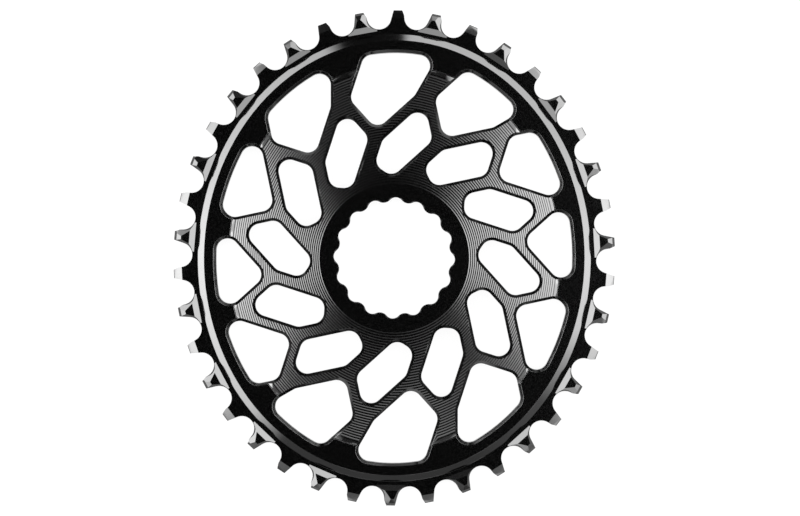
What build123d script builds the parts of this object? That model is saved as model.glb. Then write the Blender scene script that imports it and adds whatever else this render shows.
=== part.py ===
from build123d import *
import math
import os

# Oval narrow-wide chainring, machined from one plate of aluminium. Millimetres.
# It lies on the back of its rim: +Z is the bore axis towards the outer face, +Y the long axis of the oval.

# chain line
chain_pitch = 12.7
tooth_count = 38              # even, so that narrow and wide teeth alternate
ovality = 1.127               # long axis of the pitch oval over its short axis
seat_radius = 4.14            # roller seat

# tooth outline, from the middle of the chord between two seats
tip_height = 2.45
tip_half_width = 1.45
hook_height = 0.75            # foot of the slanted cut on the leading flank
hook_half_width = 2.12

# tooth thickness and facets
narrow_thickness = 2.1
wide_thickness = 3.9
narrow_bevel_start = -0.3     # heights along the tooth, above the chord
narrow_bevel_slope = 12
cap_depth = 0.2               # steeper cap at the very tip of a narrow tooth
cap_slope = 42
wide_foot_start = -4.55
wide_foot_end = -2.65
wide_bevel_start = 0.2
wide_bevel_slope = 22
wide_cap_depth = 0.8
side_facet_turn = 35          # direction of the leading facet, seen from the front
flank_inset = 0.6             # how far the raised pad draws in from the flanks

# rim
rim_thickness = 5.6
band_outer = 5.75             # bevelled band, measured in from the pitch oval
band_inner = 7.85
rim_inner = 12.2              # outer edge of the rim pockets
crease_inner = 16.6           # where the rim drops to the web
crease_width = 0.25
crease_step = 0.3

# web and hub
web_back = 2.8
hub_radius = 25.2
hub_front = 8.0
spline_count = 16
spline_crest_radius = 18.88
spline_root_radius = 20.40
spline_turn = -0.84
bore_chamfer = 0.4

# pockets: twelve inner and twelve outer, between struts that cross at steps of thirty degrees
pocket_count = 12
pocket_turn = 0.85
strut_angle = -18
inner_strut = 4.73
middle_strut = 3.96
outer_strut = 3.77
leg_width = 4.2
long_leg_width = 5.3          # in the sectors where the rim stands furthest out
gusset_angle = -30
inner_line = 0.2874           # strut lines from the axis, as shares of the short pitch radius
cross_line = 0.2881
outer_line = 0.4995
gusset_line = 0.2964
end_angle = -94               # inner end of the inner pockets
end_inset = 2.9               # its distance from the axis is this much less than the hub radius
corner_radius = 3.8
pocket_chamfer = 0.7


def solve(function, low, high):
    """Root of a rising function between low and high."""
    for _ in range(60):
        middle = (low + high) / 2
        if function(middle) < 0:
            low = middle
        else:
            high = middle
    return (low + high) / 2


def oval_point(minor, angle):
    return minor * math.cos(angle), ovality * minor * math.sin(angle)


def next_seat(minor, angle):
    """Angle on the oval one chain pitch further round."""
    here = oval_point(minor, angle)
    return solve(lambda a: math.dist(here, oval_point(minor, a)) - chain_pitch, angle, angle + 1)


def seat_angles(minor):
    """Roller seats anticlockwise, the first one just right of the top tooth, plus the closing one."""
    angles = [math.acos(chain_pitch / 2 / minor)]
    for _ in range(tooth_count):
        angles.append(next_seat(minor, angles[-1]))
    return angles


def overrun(minor):
    angles = seat_angles(minor)
    return angles[0] + 2 * math.pi - angles[-1]


round_radius = chain_pitch * tooth_count / (2 * math.pi)
minor_radius = solve(overrun, round_radius * 0.5, round_radius * 1.5)
major_radius = ovality * minor_radius
tooth_plane = rim_thickness / 2
half_narrow = narrow_thickness / 2
half_wide = wide_thickness / 2


def oval(inset, height=0.0):
    """Oval face the given distance inside the pitch oval."""
    return Pos(0, 0, height) * Ellipse(minor_radius - inset, major_radius - inset)


def hub_disc(height):
    """Hub circle, its seam turned to the long axis like that of the ovals."""
    return Pos(0, 0, height) * Rot(0, 0, 90) * Circle(hub_radius)


def tangent_point(corner, side, radius):
    """Where a flank from a corner runs into the seat on that side (-1 left, 1 right)."""
    reach = side * chain_pitch / 2 - corner[0]
    spread = math.acos(radius / math.hypot(reach, corner[1]))
    angle = math.atan2(corner[1], abs(reach)) - spread
    return side * (chain_pitch / 2 - radius * math.cos(angle)), radius * math.sin(angle)


def tooth_corners(inset=0.0):
    """Corners of a tooth from the foot of its leading flank over the tip to the foot of the trailing one."""
    tip = tip_height - inset
    hook = (hook_half_width - inset, hook_height)
    leading = (tip_half_width - inset, tip)
    trailing = (inset - tip_half_width, tip)
    radius = seat_radius + inset
    return [tangent_point(hook, 1, radius), hook, leading, trailing, tangent_point(trailing, -1, radius)]


def pad_outline(inset):
    """Closed outline of a wide tooth with its flanks drawn in."""
    radius = seat_radius + inset
    corners = tooth_corners(inset)
    foot = chain_pitch / 2 - radius * math.cos(math.radians(70))
    heel = -radius * math.sin(math.radians(70))
    bow = chain_pitch / 2 - radius * math.cos(math.radians(40))
    dip = -radius * math.sin(math.radians(40))
    floor = wide_foot_start - flank_inset
    outline = Polyline(*corners)
    outline += ThreePointArc(corners[-1], (-bow, dip), (-foot, heel))
    outline += Polyline((-foot, heel), (-foot, floor), (foot, floor), (foot, heel))
    outline += ThreePointArc((foot, heel), (bow, dip), corners[0])
    return make_face(outline)


def slab(profile):
    """Prism across a tooth from a profile of (height along the tooth, height above its middle plane)."""
    face = Plane.YZ * make_face(Polyline(*profile, close=True))
    return extrude(face, chain_pitch / 2, both=True)


def both_faces(solid):
    return [solid, mirror(solid, Plane.XY)]


def slope_drop(run, slope):
    return run * math.tan(math.radians(slope))


# one raised pad and the cuts that shape the teeth, in the frame of a tooth
clear = wide_thickness
outside = tip_height + 1
pad = loft([Pos(0, 0, half_narrow) * pad_outline(0), Pos(0, 0, half_wide) * pad_outline(flank_inset)], ruled=True)
pad -= slab([(wide_foot_start, half_narrow), (wide_foot_end, half_wide), (wide_foot_end, clear),
             (-chain_pitch, clear), (-chain_pitch, half_narrow)])
side_cut = Pos(0, wide_bevel_start, half_wide) * Rot(0, 0, side_facet_turn) * Rot(0, wide_bevel_slope, 0)
pad -= side_cut * Pos(chain_pitch / 2, 0, clear / 2) * Box(chain_pitch, 2 * chain_pitch, clear)

cap_start = tip_height - cap_depth
cap_level = half_narrow - slope_drop(cap_start - narrow_bevel_start, narrow_bevel_slope)
narrow_cut = slab([(narrow_bevel_start, half_narrow), (cap_start, cap_level),
                   (outside, cap_level - slope_drop(outside - cap_start, cap_slope)),
                   (outside, clear), (narrow_bevel_start, clear)])

wide_cap_start = tip_height - wide_cap_depth
wide_cap_level = half_wide - slope_drop(wide_cap_start - wide_bevel_start, wide_bevel_slope)
wide_cut = slab([(wide_bevel_start, half_wide), (wide_cap_start, wide_cap_level),
                 (outside, wide_cap_level - slope_drop(outside - wide_cap_start, cap_slope)),
                 (outside, clear), (wide_bevel_start, clear)])

# toothed plate
seats = [Vector(*oval_point(minor_radius, angle)) for angle in seat_angles(minor_radius)[:-1]]
teeth = []
for index, seat in enumerate(seats):
    following = seats[(index + 1) % tooth_count]
    teeth.append(Plane((seat + following) / 2, x_dir=seat - following, z_dir=(0, 0, 1)))

outline = Curve()
for index, tooth in enumerate(teeth):
    corners = [tooth.from_local_coords(Vector(*corner)) for corner in tooth_corners()]
    following = teeth[(index + 1) % tooth_count]
    landing = following.from_local_coords(Vector(*tooth_corners()[0]))
    seat = seats[(index + 1) % tooth_count]
    inward = (tooth.y_dir + following.y_dir).normalized() * -seat_radius
    outline += Polyline(*corners)
    outline += ThreePointArc(corners[-1], seat + inward, landing)

plate = extrude(make_face(outline), half_narrow, both=True)
plate += [tooth * solid for tooth in teeth[1::2] for solid in both_faces(pad)]
plate -= [tooth * solid for tooth in teeth[1::2] for solid in both_faces(wide_cut)]
plate -= [tooth * solid for tooth in teeth[0::2] for solid in both_faces(narrow_cut)]

# rim: the plate thickened inside its bevelled bands, open inside the crease
band = loft([oval(band_outer, half_narrow), oval(band_inner, tooth_plane)], ruled=True)
rim = Pos(0, 0, tooth_plane) * (plate + both_faces(band))
crease_front = rim_thickness - crease_step
rim -= extrude(oval(crease_inner), rim_thickness)
rim -= loft([oval(crease_inner, crease_front), oval(crease_inner - crease_width, rim_thickness)], ruled=True)

# web: flat behind, its front rises from the crease to the hub
web = extrude(oval(crease_inner, web_back), crease_front - web_back)
web += loft([oval(crease_inner, crease_front), hub_disc(hub_front)], ruled=True)


def bore_outline(growth=0.0):
    """Scalloped bore: arcs through the crests, the roots and the points halfway between."""
    step = math.pi / spline_count
    radii = [spline_root_radius + growth, (spline_root_radius + spline_crest_radius) / 2 + growth,
             spline_crest_radius + growth, (spline_root_radius + spline_crest_radius) / 2 + growth]

    def at(quarter):
        angle = math.radians(spline_turn) + quarter * step / 2
        return radii[quarter % 4] * math.cos(angle), radii[quarter % 4] * math.sin(angle)

    arcs = [ThreePointArc(at(q - 1), at(q), at(q + 1)) for q in range(0, 4 * spline_count, 2)]
    return make_face(Curve() + arcs)


web -= extrude(bore_outline(), hub_front)
bore_lip = Pos(0, 0, hub_front) * bore_outline(bore_chamfer)
web -= loft([Pos(0, 0, hub_front - bore_chamfer) * bore_outline(), bore_lip], ruled=True)


def side(angle, offset):
    """Half plane left of a line with this direction and offset from the axis."""
    reach = 3 * major_radius
    return Rot(0, 0, angle) * Pos(0, offset + reach / 2) * Rectangle(2 * reach, reach)


def cutter(outline):
    """Prism through the part with its upright edges rounded."""
    prism = extrude(outline, hub_front + rim_thickness)
    return fillet(prism.edges().filter_by(Axis.Z), corner_radius)


# strut lines of one sector, the pocket always on the left
first = strut_angle
turn = 360 / pocket_count
base = inner_line * minor_radius
cross = cross_line * minor_radius
outer = outer_line * minor_radius
inner_pocket = side(first, base) & side(first + 2 * turn, -cross)
inner_pocket &= side(first + 180, middle_strut - outer) & side(first + turn + 180, inner_strut - base)
inner_pocket &= side(end_angle, hub_radius - end_inset)
inner_cutter = cutter(inner_pocket)

inner_cutters = []
outer_cutters = []
half_turn = pocket_count // 2
for sector in range(pocket_count):
    place = Rot(0, 0, sector * turn + pocket_turn)
    inner_cutters.append(place * inner_cutter)
    if sector < half_turn:
        tall = sector * turn in range(60, 100)
        leg = long_leg_width if tall else leg_width
        pocket = side(first - turn, outer) & side(first + 2 * turn + 180, cross + outer_strut)
        pocket &= side(first + 180, leg - outer)
        if sector * turn in range(60, 130):
            pocket &= side(gusset_angle, gusset_line * minor_radius)
        outer_cutters.append(cutter(place * pocket & oval(rim_inner)))
outer_cutters += [Rot(0, 0, 180) * solid for solid in outer_cutters]

rim -= outer_cutters
web -= outer_cutters + inner_cutters


def oval_inset(point):
    """Distance of a point inside the pitch oval."""
    return solve(lambda d: math.hypot(point.X / (minor_radius - d), point.Y / (major_radius - d)) - 1,
                 -chain_pitch, minor_radius - 1)


def front_edges(solid, start, end):
    """Pocket edges on the front between two ovals, without the seam of the web at the long axis."""
    middle = (web_back + crease_front) / 2
    found = []
    for edge in solid.edges().filter_by(Axis.Z, reverse=True):
        point = edge @ 0.5
        on_seam = abs((edge @ 0).X) + abs((edge @ 1).X) < 0.001
        if point.Z > middle and start < oval_inset(point) < end and not on_seam:
            found.append(edge)
    return found


def clear_of_hub(edge):
    point = edge @ 0.5
    return math.hypot(point.X, point.Y) > hub_radius + pocket_chamfer


# broken edges round the pockets, then rim and web become one
hair = pocket_chamfer / 5
rim = chamfer(front_edges(rim, rim_inner - hair, crease_inner - crease_width - hair), pocket_chamfer)
web_edges = front_edges(web, crease_inner + hair, minor_radius - hub_radius)
web = chamfer([edge for edge in web_edges if clear_of_hub(edge)], pocket_chamfer)
chainring = rim + web

os.makedirs("parts", exist_ok=True)
export_step(chainring, "parts/chainring.step")
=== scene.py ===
import math

import bmesh
import bpy
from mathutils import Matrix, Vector


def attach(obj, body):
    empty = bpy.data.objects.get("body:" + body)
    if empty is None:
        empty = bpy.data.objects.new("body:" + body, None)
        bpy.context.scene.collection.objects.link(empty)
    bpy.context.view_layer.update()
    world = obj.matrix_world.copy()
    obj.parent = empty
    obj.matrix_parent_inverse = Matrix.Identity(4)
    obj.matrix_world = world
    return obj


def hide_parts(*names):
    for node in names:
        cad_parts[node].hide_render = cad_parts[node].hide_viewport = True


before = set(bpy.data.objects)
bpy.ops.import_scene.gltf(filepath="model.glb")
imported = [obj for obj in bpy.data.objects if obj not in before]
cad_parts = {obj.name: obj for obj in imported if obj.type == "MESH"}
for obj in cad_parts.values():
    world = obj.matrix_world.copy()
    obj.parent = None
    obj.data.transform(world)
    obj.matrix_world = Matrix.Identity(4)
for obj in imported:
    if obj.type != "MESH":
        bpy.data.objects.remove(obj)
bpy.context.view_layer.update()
mm = 0.001
scene = bpy.context.scene

# plain sizes of the web, the same as in the solid (mm)
web = {
    "shortCrease": 55.65,   # short half axis of the crease oval
    "longCrease": 64.82,
    "creaseLevel": 5.3,
    "hubRadius": 25.2,
    "hubLevel": 8.0,
    "entry": [0.030, 0.056],   # the two wide passes beside the crease end at these shares
    "passes": 42,           # even passes from there to the hub
    "rows": 4,              # mesh rows in each pass
    "spokes": 60,           # cuts through the axis before the passes go in
    "depth": 0.022,         # how deep a pass is under its cusps
    "crown": 0.25,          # bulge of the web over a straight cone
    "widen": 0.25,          # how much wider the pocket edges are broken than in the solid
    "step": -0.012,         # the first wide pass is plain and climbs this much more
}


def passShare(x, y):
    # 0 at the crease, 1 at the hub; every share is an oval between the two
    low, high = 0.0, 1.0
    for _ in range(30):
        mid = (low + high) / 2
        a = web["shortCrease"] + mid * (web["hubRadius"] - web["shortCrease"])
        b = web["longCrease"] + mid * (web["hubRadius"] - web["longCrease"])
        if (x / a) ** 2 + (y / b) ** 2 < 1:
            low = mid
        else:
            high = mid
    return (low + high) / 2


def passPlace(share):
    # counts the passes from the crease: whole numbers are cusps
    ends = [0.0] + web["entry"]
    for i in range(len(web["entry"])):
        if share < ends[i + 1]:
            return i + (share - ends[i]) / (ends[i + 1] - ends[i])
    return len(web["entry"]) + web["passes"] * (share - ends[-1]) / (1 - ends[-1])


def placeShare(place):
    ends = [0.0] + web["entry"]
    whole = int(place)
    if whole < len(web["entry"]):
        return ends[whole] + (place - whole) * (ends[whole + 1] - ends[whole])
    return ends[-1] + (place - len(web["entry"])) / web["passes"] * (1 - ends[-1])


def webLevel(share):
    return web["creaseLevel"] + share * (web["hubLevel"] - web["creaseLevel"])


def looseEdgeNormals(mesh):
    # corner normals on each border of a CAD face, by position, to find the borders that are true edges
    borders = {}
    keyOf = [tuple(round(c * 1e6) for c in v.co) for v in mesh.vertices]
    count = {}
    for poly in mesh.polygons:
        for key in poly.edge_keys:
            count[key] = count.get(key, 0) + 1
    normals = [c.vector.copy() for c in mesh.corner_normals]
    for poly in mesh.polygons:
        corner = {mesh.loops[i].vertex_index: normals[i] for i in poly.loop_indices}
        for a, b in poly.edge_keys:
            if count[(a, b)] == 1:
                ends = sorted(((keyOf[a], a), (keyOf[b], b)))
                key = (ends[0][0], ends[1][0])
                borders.setdefault(key, []).append((corner[ends[0][1]], corner[ends[1][1]]))
    return borders


def isTrueEdge(sides):
    if len(sides) != 2:
        return True
    first, second = sides
    return any(p.angle(q, 0) > math.radians(4) for p, q in zip(first, second))


def cutAlong(bm, faces, share, level):
    # splits the web faces along one oval
    edges = {e for f in faces for e in f.edges}
    onLevel = set()
    for edge in edges:
        a, b = edge.verts
        da, db = share[a] - level, share[b] - level
        if abs(da) < 1e-7:
            onLevel.add(a)
        if abs(db) < 1e-7:
            onLevel.add(b)
        if da * db < 0 and abs(da) > 1e-7 and abs(db) > 1e-7:
            _, vert = bmesh.utils.edge_split(edge, a, da / (da - db))
            share[vert] = level
            onLevel.add(vert)
    fresh = []
    for face in faces:
        hits = [v for v in face.verts if v in onLevel]
        if len(hits) == 2 and not any(set(e.verts) == set(hits) for e in face.edges):
            try:
                part, _ = bmesh.utils.face_split(face, hits[0], hits[1])
                fresh.append(part)
            except ValueError:
                continue
    faces.extend(fresh)


def widenEdges(bm):
    # the chamfer round each pocket grows by the same amount across the face and down the wall
    lower, inward = set(), {}
    for face in bm.faces:
        if not 0.62 < face.normal.z < 0.79 or face.calc_center_median().xy.length < web["hubRadius"] * mm:
            continue
        middle, way = face.calc_center_median().xy, face.normal.xy
        if passShare(middle.x / mm / 1.145, middle.y / mm / 1.145) <= 0:
            continue
        crease = math.hypot(middle.x / web["shortCrease"], middle.y / web["longCrease"]) / mm
        if abs(crease - 1) < 0.015 and way.dot(middle) < -0.7 * way.length * middle.length:
            continue
        for vert in face.verts:
            if any(abs(f.normal.z) < 0.2 for f in vert.link_faces):
                lower.add(vert)
            elif any(f.normal.z > 0.95 for f in vert.link_faces):
                inward.setdefault(vert, Vector()).xy -= face.normal.xy
    for vert in lower:
        vert.co.z -= web["widen"] * mm
    for vert, way in inward.items():
        onSlope = abs(vert.co.z / mm - webLevel(passShare(vert.co.x / mm, vert.co.y / mm))) < 0.06
        vert.co.xy += way.xy.normalized() * web["widen"] * mm
        if onSlope:
            vert.co.z = webLevel(passShare(vert.co.x / mm, vert.co.y / mm)) * mm
    print("ring: widened", len(lower), "and", len(inward), "edge points")


def cutRing():
    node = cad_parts["chainring"]
    source = node.data
    borders = looseEdgeNormals(source)
    bm = bmesh.new()
    bm.from_mesh(source)
    bm.transform(node.matrix_world)
    for name in ("webShare", "passPlace", "turned"):
        bm.verts.layers.float.new(name)
    shareLayer, placeLayer, turnedLayer = (bm.verts.layers.float[n] for n in ("webShare", "passPlace", "turned"))
    bmesh.ops.remove_doubles(bm, verts=bm.verts, dist=2e-6)
    toLocal = node.matrix_world.inverted()
    for edge in bm.edges:
        keys = sorted(tuple(round(c * 1e6) for c in toLocal @ v.co) for v in edge.verts)
        sides = borders.get((keys[0], keys[1]))
        edge.smooth = not (sides and isTrueEdge(sides))
    print("ring: merged", len(bm.verts), "points,", sum(not e.smooth for e in bm.edges), "sharp edges")

    widenEdges(bm)

    # faces of the web's front
    share = {}

    def shareOf(vert):
        if vert not in share:
            share[vert] = passShare(vert.co.x / mm, vert.co.y / mm)
        return share[vert]

    def onWeb(face):
        if face.normal.z < 0.9:
            return False
        for vert in face.verts:
            s = shareOf(vert)
            if s < -0.001 or s > 0.9999 and vert.co.xy.length < (web["hubRadius"] - 0.05) * mm:
                return False
            if abs(vert.co.z / mm - webLevel(s)) > 0.06:
                return False
        return face.calc_center_median().xy.length > web["hubRadius"] * mm

    faces = [f for f in bm.faces if onWeb(f)]
    print("ring: web faces", len(faces))

    for i in range(web["spokes"]):
        angle = math.pi * i / web["spokes"]
        geom = list({v for f in faces for v in f.verts}) + list({e for f in faces for e in f.edges}) + faces
        cut = bmesh.ops.bisect_plane(bm, geom=geom, plane_co=(0, 0, 0), dist=1e-7,
                                     plane_no=(-math.sin(angle), math.cos(angle), 0))
        faces = [g for g in cut["geom"] if isinstance(g, bmesh.types.BMFace)]
    share = {v: passShare(v.co.x / mm, v.co.y / mm) for f in faces for v in f.verts}
    rows = web["rows"]
    for i in range(1, (web["passes"] + len(web["entry"])) * rows):
        cutAlong(bm, faces, share, placeShare(i / rows))
    print("ring: web cut into", len(faces), "faces")

    # the cusps between passes stay sharp
    for edge in {e for f in faces for e in f.edges}:
        a, b = (passPlace(share[v]) for v in edge.verts)
        if abs(a - b) < 1e-3 and abs(a - round(a)) < 1e-3:
            edge.smooth = False
    for vert in bm.verts:
        x, y = vert.co.x / mm, vert.co.y / mm
        if passShare(x * 0.855, y * 0.855) <= 0.001 or math.hypot(x, y) < web["hubRadius"] + 0.1:
            vert[turnedLayer] = 1.0
    for vert, s in share.items():
        vert[shareLayer] = s
        vert[placeLayer] = round(passPlace(s), 5)
        vert[turnedLayer] = 1.0
    for face in bm.faces:
        face.smooth = True
    bmesh.ops.triangulate(bm, faces=[f for f in bm.faces if len(f.verts) > 4])
    mesh = bpy.data.meshes.new("ringBlank")
    bm.to_mesh(mesh)
    bm.free()
    return mesh


def passTree():
    # presses the tool passes into the web: a hollow between every two cusps, on a slight crown
    tree = bpy.data.node_groups.new("toolPasses", "GeometryNodeTree")
    face = tree.interface
    face.new_socket("Geometry", in_out="INPUT", socket_type="NodeSocketGeometry")
    for name in ("Depth", "Crown", "Entry"):
        face.new_socket(name, in_out="INPUT", socket_type="NodeSocketFloat")
    face.new_socket("Material", in_out="INPUT", socket_type="NodeSocketMaterial")
    face.new_socket("Geometry", in_out="OUTPUT", socket_type="NodeSocketGeometry")
    nodes, links = tree.nodes, tree.links
    given = nodes.new("NodeGroupInput")

    def named(name):
        node = nodes.new("GeometryNodeInputNamedAttribute")
        node.data_type = "FLOAT"
        node.inputs["Name"].default_value = name
        return node.outputs["Attribute"]

    def maths(operation, a, b=None):
        node = nodes.new("ShaderNodeMath")
        node.operation = operation
        for i, value in enumerate((a, b)):
            if isinstance(value, (int, float)):
                node.inputs[i].default_value = value
            elif value is not None:
                links.new(value, node.inputs[i])
        return node.outputs[0]

    def hump(value):
        # 0 at both ends of 0..1, 1 in the middle
        return maths("MULTIPLY", maths("MULTIPLY", value, maths("SUBTRACT", 1.0, value)), 4.0)

    place = named("passPlace")
    share = named("webShare")
    entry = maths("MULTIPLY", maths("MINIMUM", place, 1.0), maths("SUBTRACT", 1.0, share))
    inside = maths("GREATER_THAN", place, 0.999)
    hollow = maths("MULTIPLY", maths("MULTIPLY", hump(maths("FRACT", place)), given.outputs["Depth"]), inside)
    bulge = maths("MULTIPLY", hump(share), given.outputs["Crown"])
    bulge = maths("ADD", bulge, maths("MULTIPLY", entry, given.outputs["Entry"]))
    lift = nodes.new("ShaderNodeCombineXYZ")
    links.new(maths("SUBTRACT", bulge, hollow), lift.inputs["Z"])
    press = nodes.new("GeometryNodeSetPosition")
    links.new(given.outputs["Geometry"], press.inputs["Geometry"])
    links.new(lift.outputs[0], press.inputs["Offset"])
    real = nodes.new("GeometryNodeRealizeInstances")
    links.new(press.outputs[0], real.inputs[0])
    coat = nodes.new("GeometryNodeSetMaterial")
    links.new(real.outputs[0], coat.inputs["Geometry"])
    links.new(given.outputs["Material"], coat.inputs["Material"])
    out = nodes.new("NodeGroupOutput")
    links.new(coat.outputs[0], out.inputs[0])
    return tree


def makeRing(material):
    blank = bpy.data.objects.new("ringBlank", cutRing())
    scene.collection.objects.link(blank)
    modifier = blank.modifiers.new("toolPasses", "NODES")
    modifier.node_group = passTree()
    values = {"Depth": web["depth"] * mm, "Crown": web["crown"] * mm, "Entry": web["step"] * mm,
              "Material": material}
    for item in modifier.node_group.interface.items_tree:
        if item.in_out == "INPUT" and item.name in values:
            modifier[item.identifier] = values[item.name]
    graph = bpy.context.evaluated_depsgraph_get()
    mesh = bpy.data.meshes.new_from_object(blank.evaluated_get(graph))
    mesh.name = "ringPlate"
    blank.modifiers.remove(modifier)
    bpy.data.objects.remove(blank)
    ring = bpy.data.objects.new("ringPlate", mesh)
    scene.collection.objects.link(ring)
    print("ring:", sum(len(p.vertices) - 2 for p in mesh.polygons), "triangles")
    return ring


anodised = {
    "colour": (0.10, 0.10, 0.10, 1),
    "edgeTint": (0.25, 0.25, 0.25, 1),   # the layer swallows light at a grazing angle
    "roughness": (0.085, 0.115),         # finest to coarsest grain
    "grain": 1400.0,                     # grains per metre
    "rounding": 0.08,                    # radius of the broken edges (mm)
}


def makeAnodised():
    mat = bpy.data.materials.new("blackAnodised")
    mat.use_nodes = True
    nodes, links = mat.node_tree.nodes, mat.node_tree.links
    skin = nodes["Principled BSDF"]
    skin.inputs["Base Color"].default_value = anodised["colour"]
    skin.inputs["Metallic"].default_value = 1.0
    skin.inputs["Specular Tint"].default_value = anodised["edgeTint"]
    where = nodes.new("ShaderNodeTexCoord")
    grain = nodes.new("ShaderNodeTexNoise")
    grain.inputs["Scale"].default_value = anodised["grain"]
    grain.inputs["Detail"].default_value = 3.0
    links.new(where.outputs["Object"], grain.inputs["Vector"])
    rough = nodes.new("ShaderNodeMapRange")
    rough.inputs["From Min"].default_value = 0.3
    rough.inputs["From Max"].default_value = 0.7
    rough.inputs["To Min"].default_value = anodised["roughness"][0]
    rough.inputs["To Max"].default_value = anodised["roughness"][1]
    links.new(grain.outputs["Fac"], rough.inputs["Value"])
    links.new(rough.outputs[0], skin.inputs["Roughness"])

    # broken edges only between the hub and the outer ring, and not on the tool passes
    bevel = nodes.new("ShaderNodeBevel")
    bevel.samples = 8
    bevel.inputs["Radius"].default_value = anodised["rounding"] * mm
    turned = nodes.new("ShaderNodeAttribute")
    turned.attribute_name = "turned"
    plain = nodes.new("ShaderNodeNewGeometry")
    keep = nodes.new("ShaderNodeMath")
    keep.operation = "GREATER_THAN"
    keep.inputs[1].default_value = 0.98
    links.new(turned.outputs["Fac"], keep.inputs[0])
    mix = nodes.new("ShaderNodeMix")
    mix.data_type = "VECTOR"
    links.new(keep.outputs[0], mix.inputs["Factor"])
    links.new(bevel.outputs[0], mix.inputs[4])
    links.new(plain.outputs["Normal"], mix.inputs[5])
    links.new(mix.outputs[1], skin.inputs["Normal"])
    return mat


def makeFloor():
    mesh = bpy.data.meshes.new("floor")
    mesh.from_pydata([(-6, -6, -0.0002), (6, -6, -0.0002), (6, 6, -0.0002), (-6, 6, -0.0002)], [], [(0, 1, 2, 3)])
    floor = bpy.data.objects.new("floor", mesh)
    scene.collection.objects.link(floor)
    mat = bpy.data.materials.new("paleFloor")
    mat.use_nodes = True
    nodes, links = mat.node_tree.nodes, mat.node_tree.links
    paper = nodes["Principled BSDF"]
    paper.inputs["Base Color"].default_value = (0.8, 0.8, 0.8, 1)
    paper.inputs["Roughness"].default_value = 0.9
    glow = nodes.new("ShaderNodeEmission")
    glow.inputs["Strength"].default_value = 1.0
    path = nodes.new("ShaderNodeLightPath")
    seen = path.outputs["Is Camera Ray"]
    for name in ("Is Glossy Ray", "Is Transmission Ray"):
        either = nodes.new("ShaderNodeMath")
        either.operation = "MAXIMUM"
        links.new(seen, either.inputs[0])
        links.new(path.outputs[name], either.inputs[1])
        seen = either.outputs[0]
    # the rest is lit paper, which keeps the shadow
    share = nodes.new("ShaderNodeMath")
    share.operation = "MULTIPLY"
    share.inputs[1].default_value = 0.92
    links.new(seen, share.inputs[0])
    mix = nodes.new("ShaderNodeMixShader")
    links.new(share.outputs[0], mix.inputs[0])
    links.new(paper.outputs[0], mix.inputs[1])
    links.new(glow.outputs[0], mix.inputs[2])
    links.new(mix.outputs[0], nodes["Material Output"].inputs["Surface"])
    mesh.materials.append(mat)


studio = {
    # rings of light from the camera outwards, each named for the faces that look at it
    # each stop is a share of a turn anticlockwise from the right, and a strength
    "web": [(0.0, 8.2), (0.045, 8.6), (0.08, 7.4), (0.125, 4.5), (0.16, 1.2), (0.185, 0.7), (0.215, 0.8), (0.25, 0.8),
            (0.335, 0.7), (0.368, 0.8), (0.39, 1.6), (0.42, 4.2), (0.455, 8.0), (0.545, 8.0), (0.583, 5.0),
            (0.612, 1.6), (0.65, 0.9), (0.71, 2.6), (0.79, 2.6), (0.83, 1.6), (0.875, 0.8), (0.9, 2.0),
            (0.93, 4.5), (0.96, 7.0)],
    "tips": [(0.0, 11.0), (0.11, 8.0), (0.16, 2.6), (0.185, 1.0), (0.2, 0.1), (0.235, 0.05), (0.29, 0.05),
             (0.33, 0.15), (0.35, 0.5), (0.37, 2.0), (0.42, 8.0), (0.5, 11.5), (0.58, 9.0), (0.63, 2.0),
             (0.68, 0.9), (0.82, 0.9), (0.89, 1.3), (0.95, 7.5)],
    "facets": [(0.0, 7.8), (0.187, 7.0), (0.205, 5.0), (0.225, 3.0), (0.24, 0.2), (0.32, 0.1), (0.345, 3.0),
               (0.367, 6.8), (0.416, 7.4), (0.5, 8.8), (0.55, 7.8), (0.597, 5.0), (0.62, 1.6), (0.653, 0.9),
               (0.69, 0.3), (0.703, 3.4), (0.727, 3.4), (0.737, 0.2), (0.757, 0.2), (0.767, 3.5), (0.791, 3.5),
               (0.801, 0.15), (0.82, 0.2), (0.828, 3.4), (0.845, 3.4), (0.856, 1.0), (0.878, 1.0), (0.891, 4.8),
               (0.916, 3.5), (0.9385, 6.4)],
    "band": [(0.0, 9.0), (0.09, 6.4), (0.241, 5.6), (0.244, 0.05), (0.302, 0.05), (0.318, 5.6), (0.42, 7.5),
             (0.5, 11.0), (0.61, 7.0), (0.645, 0.45), (0.83, 0.4), (0.9, 0.8), (0.93, 3.5), (0.955, 7.5)],
    "joins": [(0.34, 0.40), (0.60, 0.67), (0.90, 0.95)],
    "dark": (-0.02, 0.0),        # middle of the dark patch round the camera
    "edge": (0.08, 0.30),        # the light fades in from here to here at the sides
    "tallEdge": (0.20, 0.36),    # and above and below
    "horizon": (0.05, 0.115),    # the light starts this high
}


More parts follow.
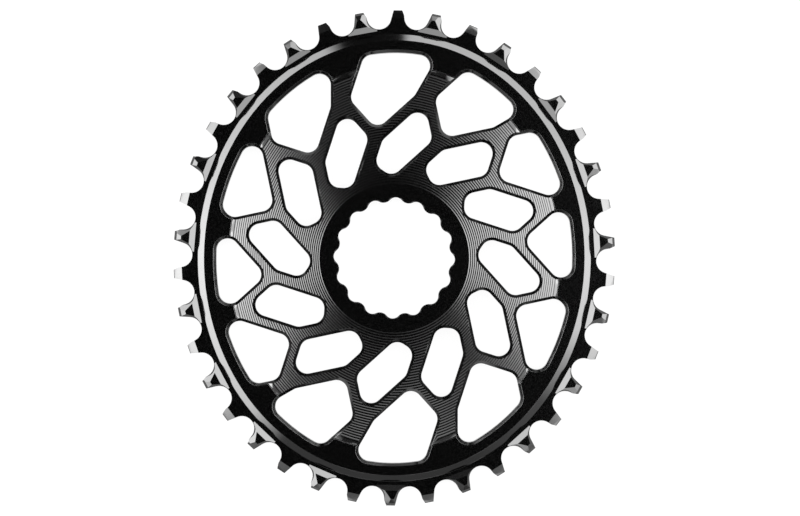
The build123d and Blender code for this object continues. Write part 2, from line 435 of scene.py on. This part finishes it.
def makeStudio():
    world = bpy.data.worlds.new("studio")
    scene.world = world
    world.use_nodes = True
    nodes, links = world.node_tree.nodes, world.node_tree.links
    nodes.clear()
    where = nodes.new("ShaderNodeTexCoord")
    split = nodes.new("ShaderNodeSeparateXYZ")
    links.new(where.outputs["Generated"], split.inputs[0])

    def maths(operation, a, b=None):
        node = nodes.new("ShaderNodeMath")
        node.operation = operation
        for i, value in enumerate((a, b)):
            if value is None:
                continue
            if isinstance(value, (int, float)):
                node.inputs[i].default_value = value
            else:
                links.new(value, node.inputs[i])
        return node.outputs[0]

    x, y = split.outputs["X"], split.outputs["Y"]
    turn = maths("DIVIDE", maths("ARCTAN2", y, x), 2 * math.pi)
    turn = maths("FRACT", maths("ADD", turn, 1.0))
    top = 12.0

    def turned(stops):
        ramp = nodes.new("ShaderNodeValToRGB")
        links.new(turn, ramp.inputs[0])
        stops = stops + [(1.0, stops[0][1])]
        while len(ramp.color_ramp.elements) < len(stops):
            ramp.color_ramp.elements.new(0.5)
        for element, (place, level) in zip(ramp.color_ramp.elements, stops):
            element.position = place
            element.color = (level / top, level / top, level / top, 1)
        return ramp.outputs[0]

    z = split.outputs["Z"]

    def rise(value, start, end):
        node = nodes.new("ShaderNodeMapRange")
        node.interpolation_type = "SMOOTHSTEP"
        for socket, given in ((node.inputs["From Min"], start), (node.inputs["From Max"], end)):
            if isinstance(given, (int, float)):
                socket.default_value = given
            else:
                links.new(given, socket)
        links.new(value, node.inputs["Value"])
        return node.outputs[0]

    def distance(dx, dy):
        return maths("SQRT", maths("ADD", maths("MULTIPLY", dx, dx), maths("MULTIPLY", dy, dy)))

    def blend(near, far, share):
        return maths("ADD", maths("MULTIPLY", near, maths("SUBTRACT", 1.0, share)), maths("MULTIPLY", far, share))

    out = distance(x, y)
    sides = turned(studio["web"])
    for name, join in zip(("tips", "facets", "band"), studio["joins"]):
        sides = blend(sides, turned(studio[name]), rise(out, *join))
    dx, dy = maths("SUBTRACT", x, studio["dark"][0]), maths("SUBTRACT", y, studio["dark"][1])
    away = distance(dx, dy)
    upright = maths("DIVIDE", maths("MULTIPLY", dy, dy), maths("ADD", maths("MULTIPLY", away, away), 1e-6))
    start, end = (blend(a, b, upright) for a, b in zip(studio["edge"], studio["tallEdge"]))
    sides = maths("MULTIPLY", sides, rise(away, start, end))
    sides = maths("MULTIPLY", sides, rise(z, *studio["horizon"]))
    level = maths("MULTIPLY", sides, top)
    light = nodes.new("ShaderNodeBackground")
    links.new(level, light.inputs["Strength"])
    plain = nodes.new("ShaderNodeBackground")
    plain.inputs["Strength"].default_value = 1.0
    path = nodes.new("ShaderNodeLightPath")
    mix = nodes.new("ShaderNodeMixShader")
    links.new(path.outputs["Is Camera Ray"], mix.inputs[0])
    links.new(light.outputs[0], mix.inputs[1])
    links.new(plain.outputs[0], mix.inputs[2])
    links.new(mix.outputs[0], nodes.new("ShaderNodeOutputWorld").inputs["Surface"])


view = {
    "pixelsPerMm": 2.9661,
    "centre": (1.93, 0.0),     # what the middle of the frame looks at
    "roll": 0.85,
    "lens": 200.0,
}


def makeCamera():
    data = bpy.data.cameras.new("camera")
    data.lens = view["lens"]
    data.sensor_width = 36.0
    width = 800 / view["pixelsPerMm"]
    camera = bpy.data.objects.new("camera", data)
    camera.location = (view["centre"][0] * mm, view["centre"][1] * mm,
                       (width * view["lens"] / 36.0 + 4.0) * mm)
    camera.rotation_euler = (0, 0, math.radians(view["roll"]))
    data.clip_end = 50
    scene.collection.objects.link(camera)
    scene.camera = camera


ringPlate = makeRing(makeAnodised())
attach(ringPlate, "root")
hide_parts("chainring")
makeFloor()
makeStudio()
makeCamera()
scene.view_settings.view_transform = "Standard"
print("scene: ready")
